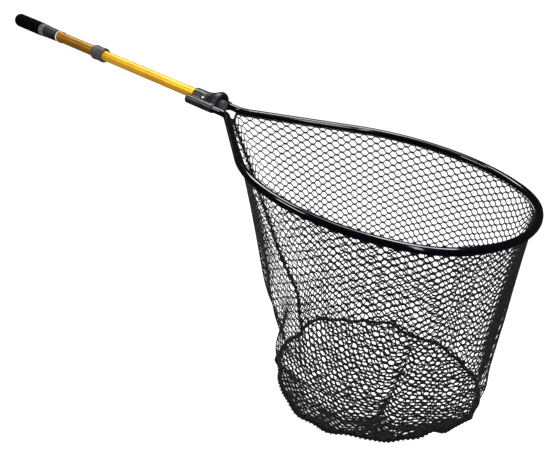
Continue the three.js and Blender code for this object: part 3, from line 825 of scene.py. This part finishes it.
PINCH = 16                                   # how far the wall is drawn in at its waist
PINCH_EASED_FULL = 13                        # how much less that is on the full side
PINCH_EASED_SLACK = 9                        # and on the slack side
HOLLOW = 20                                  # how far the slack side sinks in above the seam
BELLY = 4                                    # how far the wall bulges just above the seam
FULL_SIDE = np.array([0.83, 0.55])           # the side where the bag hangs full; it is slack opposite


def wall(fraction, depth):
    """Points of the side wall and its outward direction; depth runs from 0 at the hem to 1 at the seam."""
    fraction = np.asarray(fraction, float)
    depth = np.clip(depth, 0, 1) ** (1 + 1.1 * gather(fraction))
    top = resampled(HEM, fraction.ravel()).reshape(*fraction.shape, 3)
    bottom = resampled(SEAM, seam_fractions(fraction.ravel())).reshape(*fraction.shape, 3)
    straight = top + (bottom - top) * depth[..., None]
    outward = straight - np.array([FRONT + SEAM_CENTRE, 0, 0])
    outward[..., 2] = 0
    outward /= np.linalg.norm(outward, axis=-1, keepdims=True)
    towards = outward[..., :2] @ FULL_SIDE
    full = np.clip((towards - 0.3) / 0.5, 0, 1)
    slack = np.clip((-towards - 0.3) / 0.5, 0, 1)
    waist = PINCH - PINCH_EASED_FULL * full - PINCH_EASED_SLACK * slack
    pinch = waist * np.sin(math.pi * np.clip(depth, 0, 1) ** 0.85)
    hollow = HOLLOW * slack * np.exp(-((depth - 0.8) / 0.12) ** 2)
    belly = BELLY * np.exp(-((depth - 0.9) / 0.07) ** 2)
    settle = 1 - np.clip((depth - 0.9) / 0.1, 0, 1) ** 2
    offset = fold_depth(fraction, depth) * settle - pinch + (belly - hollow) * settle
    return straight + outward * offset[..., None], outward


# knotless netting: hexagons with level bars, each bar made of two twines that lie side by side
MESHES_ROUND = 140
MESH_ROWS = 28
BAR = 0.58                                   # part of a mesh's width taken by its bar
BESIDE = 0.07                                # half the step between a bar's two twines, in mesh rows
SWAY = (1 / 3, 0.26)                         # a third of the way to the next bar: along, and down
TWINE_RADIUS = 1.4
TWINE_SIDES = 5
THINNER_SLACK = 0.42                         # part of its radius that a twine loses on the slack near side
THINNER_FULL = 0.12                          # and on the full side
THICKER_GATHERED = 0.35                      # part that it gains where the net is bunched up
BOTTOM_TWINE_RADIUS = 1.85
BOTTOM_MESH = np.array([12.4, 13.6])


def nudges(bars, rows, size, rng):
    """How far each bar lies from its even place, in meshes; it grows from the first row to the last."""
    table = rng.normal(0, size, (bars + 1, 2 * rows + 1, 2)) * np.linspace(0.3, 1, 2 * rows + 1)[:, None]
    table[-1] = table[0]
    return table


def twine_paths(first, last, rows, table):
    """Twines as (twine, point, [along, down]) in meshes, from the middle of one bar to that of another.

    Each row has two twines. They lie together in the even bars, and each meets its neighbour's in the odd.
    """
    bars = np.arange(first, last + 1)
    odd = bars % 2
    way = np.tile([-1, 1], rows)[:, None]
    down = np.repeat(np.arange(rows), 2)[:, None] + 0.5 + 0.5 * way * odd
    middle = np.stack([np.broadcast_to(bars, down.shape), down], -1)
    middle = middle + table[bars, np.round(2 * down).astype(int)]
    middle[..., 1] += way * (1 - 2 * odd) * BESIDE
    start, end = middle - (BAR / 2, 0), middle + (BAR / 2, 0)
    leave, arrive = end[:, :-1], start[:, 1:]
    step = (arrive - leave) * SWAY
    between = np.stack([leave, leave + step, arrive - step, arrive], 2).reshape(2 * rows, -1, 2)
    return np.concatenate([middle[:, :1], between, middle[:, -1:]], 1)


def tubes(paths, normals, radius, sides):
    """Many tubes of the same number of points at once; paths and normals are arrays (tube, point, xyz)."""
    steps = unit(np.diff(paths, axis=1))
    tangent = unit(np.concatenate([steps[:, :1], steps], 1) + np.concatenate([steps, steps[:, -1:]], 1))
    side = unit(np.cross(tangent, normals))
    over = np.cross(side, tangent)
    angles = 2 * math.pi * np.arange(sides) / sides
    ring = (np.cos(angles)[:, None] * side[:, :, None, :] + np.sin(angles)[:, None] * over[:, :, None, :])
    count, length = paths.shape[:2]
    verts = (paths[:, :, None, :] + radius * ring).reshape(-1, 3)
    index = np.arange(count * length * sides).reshape(count, length, sides)
    a, b = index[:, :-1], index[:, 1:]
    quads = np.stack([a, np.roll(a, -1, 2), np.roll(b, -1, 2), b], -1).reshape(-1, 4)
    faces = [tuple(q) for q in quads.tolist()]
    faces += [tuple(ends) for ends in index[:, 0, ::-1].tolist()] + [tuple(e) for e in index[:, -1].tolist()]
    return verts, faces


def wound(points, radius, thick, pitch, strands=1, closed=False, steps=10):
    """Strands wound round a line: three make a laid rope, and one an overcast stitch."""
    line = np.asarray(points, float)
    closing = np.vstack([line, line[:1]]) if closed else line
    lengths = np.concatenate([[0], np.cumsum(np.linalg.norm(np.diff(closing, axis=0), axis=1))])
    turns = max(1, round(lengths[-1] / pitch))
    at = np.linspace(0, lengths[-1], turns * steps + 1)
    if closed:
        at = at[:-1]
    centre = np.stack([np.interp(at, lengths, closing[:, k]) for k in range(3)], 1)
    ahead = np.roll(centre, -1, 0) - np.roll(centre, 1, 0)
    if not closed:
        ahead[0], ahead[-1] = centre[1] - centre[0], centre[-1] - centre[-2]
    tangent = ahead / np.linalg.norm(ahead, axis=1)[:, None]
    up = np.array([0, 0, 1.0]) if abs(tangent[:, 2]).max() < 0.95 else np.array([0, 1.0, 0])
    side = np.cross(tangent, up)
    side /= np.linalg.norm(side, axis=1)[:, None]
    over = np.cross(side, tangent)
    shapes = []
    for k in range(strands):
        angle = 2 * math.pi * (at / lengths[-1] * turns + k / strands)
        path = centre + radius * (np.cos(angle)[:, None] * side + np.sin(angle)[:, None] * over)
        shapes.append(tube(path, thick, 6, closed=closed))
    return joined(*shapes)


def sewn_rope(points, radius, pitch, closed=False):
    """A laid rope with a thinner twine sewn over and over round it."""
    rope = wound(points, 0.5 * radius, 0.56 * radius, 1.3 * pitch, 3, closed)
    stitch = wound(points, 1.25 * radius, 0.38 * radius, pitch, 1, closed)
    return joined(rope, stitch)


def seam_at(angle):
    """The seam's point in a direction from the bag's centre line."""
    count = len(SEAM)
    place = (np.degrees(angle) + 180) / 360 * count
    low_index = np.floor(place).astype(int)
    t = (place - low_index)[..., None]
    return SEAM[low_index % count] * (1 - t) + SEAM[(low_index + 1) % count] * t


CREASE_FROM = math.radians(96)
CREASE_TO = math.radians(-64)
CREASE_HEIGHT = 20
CREASE_WIDTH = 17
CREASE_PULL = 0.78                           # part of the way that the net beside the crease is drawn to it
BOTTOM_SAG = 68.0
BOTTOM_SHIFT = 22                            # the sagging middle lies this far to the yoke and the near side


def bottom(x, y):
    """A point of the bottom panel over a place (x, y) on its flat cut, from the bag's centre line."""
    angle = np.arctan2(y, x)
    edge = 1 / np.hypot(np.cos(angle) / SEAM_ALONG, np.sin(angle) / SEAM_ACROSS)
    part = np.minimum(np.hypot(x, y) / edge, 1.0)
    rim = seam_at(angle)
    centre = np.array([FRONT + SEAM_CENTRE - BOTTOM_SHIFT, -BOTTOM_SHIFT, SEAM_Z])
    point = centre + (rim - centre) * part[..., None]
    point[..., 2] = SEAM_Z + (rim[..., 2] - SEAM_Z) * part ** 3 - BOTTOM_SAG * (1 - part ** 2.2)
    ripples = 2.6 * np.sin(0.052 * x + 0.03 * y + 1.0) + 2.2 * np.sin(0.031 * x - 0.061 * y)
    ripples = ripples + 3.0 * np.sin(11 * angle + 0.7) * part ** 2
    start, finish = seam_at(np.array(CREASE_FROM)), seam_at(np.array(CREASE_TO))
    way = (finish - start)[:2] / np.linalg.norm((finish - start)[:2])
    off = (point[..., 0] - start[0]) * -way[1] + (point[..., 1] - start[1]) * way[0]
    ridge = np.exp(-(off / CREASE_WIDTH) ** 2)
    fade = 1 - part ** 6
    point[..., 2] += (ripples + CREASE_HEIGHT * ridge) * fade
    pull = CREASE_PULL * off * ridge * fade
    point[..., 0] -= -way[1] * pull
    point[..., 1] -= way[0] * pull
    return point


def trimmed(flat):
    """The part of a twine's flat line inside the seam's oval, its two ends moved onto the oval."""
    reach = np.hypot(flat[:, 0] / SEAM_ALONG, flat[:, 1] / SEAM_ACROSS)
    inside = np.flatnonzero(reach < 1)
    if len(inside) < 2:
        return None
    first, last = inside[0], inside[-1]
    ends = []
    for near, far in ((first, first - 1), (last, last + 1)):
        ends.append(flat[near] + (flat[far] - flat[near]) * (1 - reach[near]) / (reach[far] - reach[near]))
    return np.vstack([ends[0], flat[first:last + 1], ends[1]])


def bottom_twines(rng):
    bars, rows = (2 * np.ceil((SEAM_ALONG, SEAM_ACROSS) / BOTTOM_MESH).astype(int) + 2).tolist()
    paths = twine_paths(0, bars, rows, nudges(bars, rows, 0.075, rng))
    lines = [trimmed(flat) for flat in (paths - (bars / 2, rows / 2)) * BOTTOM_MESH]
    shapes = []
    for line in lines:
        if line is not None:
            path = bottom(line[:, 0], line[:, 1])
            level = np.tile([0, 0, 1.0], (len(path), 1))
            shapes.append(tube(path, BOTTOM_TWINE_RADIUS, TWINE_SIDES, normals=level))
    return joined(*shapes)


# how far the thick cords reach each way from the throat's middle, as a part of the hem's length
THROAT_REACH = 0.026


def make_net():
    table = nudges(MESHES_ROUND, MESH_ROWS, 0.06, np.random.RandomState(SEED + 1))
    half = MESHES_ROUND // 2
    for name, first, last, nodes in (("net_wall_near", 0, half, ["net_side_panel"]),
                                     ("net_wall_far", half, MESHES_ROUND, [])):
        paths = twine_paths(first, last, MESH_ROWS, table)
        lines, outward = wall(paths[..., 0] / MESHES_ROUND, paths[..., 1] / MESH_ROWS)
        towards = outward[..., :2] @ FULL_SIDE
        near_side = np.clip(0.5 - 2 * outward[..., 1], 0, 1)
        drawn = THINNER_SLACK * near_side * np.clip((-towards - 0.4) / 0.5, 0, 1)
        drawn += THINNER_FULL * np.clip((towards - 0.5) / 0.4, 0, 1)
        gathered = THICKER_GATHERED * gather(paths[..., 0] / MESHES_ROUND) * np.exp(-(paths[..., 1] / 5) ** 2)
        thickness = (TWINE_RADIUS * (1 - drawn + gathered))[..., None, None]
        shape = tubes(lines, outward, thickness, TWINE_SIDES)
        add_piece(name, shape, TWINE, "hoop_section", *nodes, sharp=80)
    add_piece("net_bottom", bottom_twines(np.random.RandomState(SEED + 2)), BOTTOM_TWINE, "hoop_section",
              "net_bottom_panel", sharp=80)
    add_piece("net_hem", sewn_rope(HEM, 1.4, 13, closed=True), CORD_TWINE, "hoop_section", "net_hem_cord",
              sharp=80)
    add_piece("net_bottom_seam", sewn_rope(SEAM, 3.4, 9.5, closed=True), CORD_TWINE, "hoop_section",
              "net_seam_cord", sharp=80)
    free = resampled(HEM, np.linspace(-THROAT_REACH, THROAT_REACH, 40))
    add_piece("net_throat_cords", sewn_rope(free, 2.3, 8), CORD_TWINE, "hoop_section", sharp=80)
    line, outward = wall(np.zeros(60), np.linspace(0, 1, 60))
    line = line + 1.5 * outward
    lacing = joined(wound(line, 5.2, 1.1, 15), wound(line, 4.4, 1.0, 21), sewn_rope(line, 2.5, 10))
    add_piece("net_throat_seam", lacing, CORD_TWINE, "hoop_section", "net_side_seam", sharp=80)


# ---------------------------------------------------------------- hidden CAD nodes that stay


def dress_hidden_nodes():
    looks = {"rear_tube_plug": DARK_GREY, "lock_collet": PALE_NYLON, "front_tube_guide_bush": PALE_NYLON}
    for name, material in looks.items():
        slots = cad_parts[name].data.materials
        slots.clear()
        slots.append(material)


# ---------------------------------------------------------------- camera, floor and light


def make_camera():
    place = Vector((1.8545, -1.3201, 0.5090))
    azimuth, down, roll = math.radians(123.75), math.radians(24.77), math.radians(11.3)
    ahead = Vector((math.cos(down) * math.cos(azimuth), math.cos(down) * math.sin(azimuth), -math.sin(down)))
    level = ahead.cross(Vector((0, 0, 1))).normalized()
    above = level.cross(ahead)
    right = math.cos(roll) * level + math.sin(roll) * above
    up = -math.sin(roll) * level + math.cos(roll) * above
    data = bpy.data.cameras.new("camera")
    data.lens = 50.8
    data.sensor_width = 36
    data.clip_end = 100
    camera = bpy.data.objects.new("camera", data)
    camera.matrix_world = Matrix((
        (right.x, up.x, -ahead.x, place.x), (right.y, up.y, -ahead.y, place.y),
        (right.z, up.z, -ahead.z, place.z), (0, 0, 0, 1)))
    bpy.context.scene.collection.objects.link(camera)
    bpy.context.scene.camera = camera


def softbox(name, place, target, size, power, colour=(1, 1, 1)):
    data = bpy.data.lights.new(name, "AREA")
    data.shape = "RECTANGLE"
    data.size, data.size_y = size
    data.energy = power
    data.color = colour
    lamp = bpy.data.objects.new(name, data)
    place, target = Vector(place), Vector(target)
    lamp.location = place
    lamp.rotation_euler = (target - place).to_track_quat("-Z", "Y").to_euler()
    bpy.context.scene.collection.objects.link(lamp)
    return lamp


def make_studio():
    """A white floor and world, and five soft lamps."""
    mesh = bpy.data.meshes.new("floor")
    size, z = 20.0, -0.95
    corners = [(-size, -size, z), (size, -size, z), (size, size, z), (-size, size, z)]
    mesh.from_pydata(corners, [], [(0, 1, 2, 3)])
    look = Look("floor_paper").set(Roughness=0.9)
    look.colour(look.ramp(look.noise(0.8, 2), (0.3, (0.92, 0.92, 0.92)), (0.7, (0.94, 0.94, 0.94))))
    mesh.materials.append(look.material)
    floor = bpy.data.objects.new("floor", mesh)
    floor.visible_glossy = False
    bpy.context.scene.collection.objects.link(floor)

    world = bpy.data.worlds.new("studio")
    bpy.context.scene.world = world
    world.use_nodes = True
    nodes, links = world.node_tree.nodes, world.node_tree.links
    background = nodes["Background"]
    background.inputs["Color"].default_value = (1, 1, 1, 1)
    rays = nodes.new("ShaderNodeLightPath")
    level = nodes.new("ShaderNodeMapRange")
    matt_level, glossy_level = 1.25, 0.02
    level.inputs["To Min"].default_value = matt_level
    level.inputs["To Max"].default_value = glossy_level
    links.new(rays.outputs["Is Glossy Ray"], level.inputs["Value"])
    links.new(level.outputs["Result"], background.inputs["Strength"])

    middle = (1.1, 0, -0.15)
    softbox("top_box", (0.9, 0.2, 2.2), middle, (1.6, 1.0), 22)
    softbox("left_box", (-0.6, -2.2, 1.3), (0.7, 0, 0), (1.2, 0.5), 26)
    # these two are seen in reflections and don't light matt surfaces
    for name, place, size, power in (("gloss_over", (1.55, 0.45, 2.0), (0.9, 1.4), 42),
                                     ("gloss_back", (-0.55, 0.3, 1.75), (0.8, 1.2), 30)):
        softbox(name, place, middle, size, power).visible_diffuse = False
    softbox("right_strip", (2.6, -1.0, 0.9), (1.3, 0, -0.1), (0.25, 1.4), 9, (0.93, 0.95, 1.0))


make_grip()
make_ferrules()
make_tubes()
make_collar()
make_end_plug()
make_yoke()
make_button()
make_screws()
make_hoop()
make_net()
dress_hidden_nodes()
make_camera()
make_studio()

bpy.context.scene.view_settings.view_transform = "Standard"
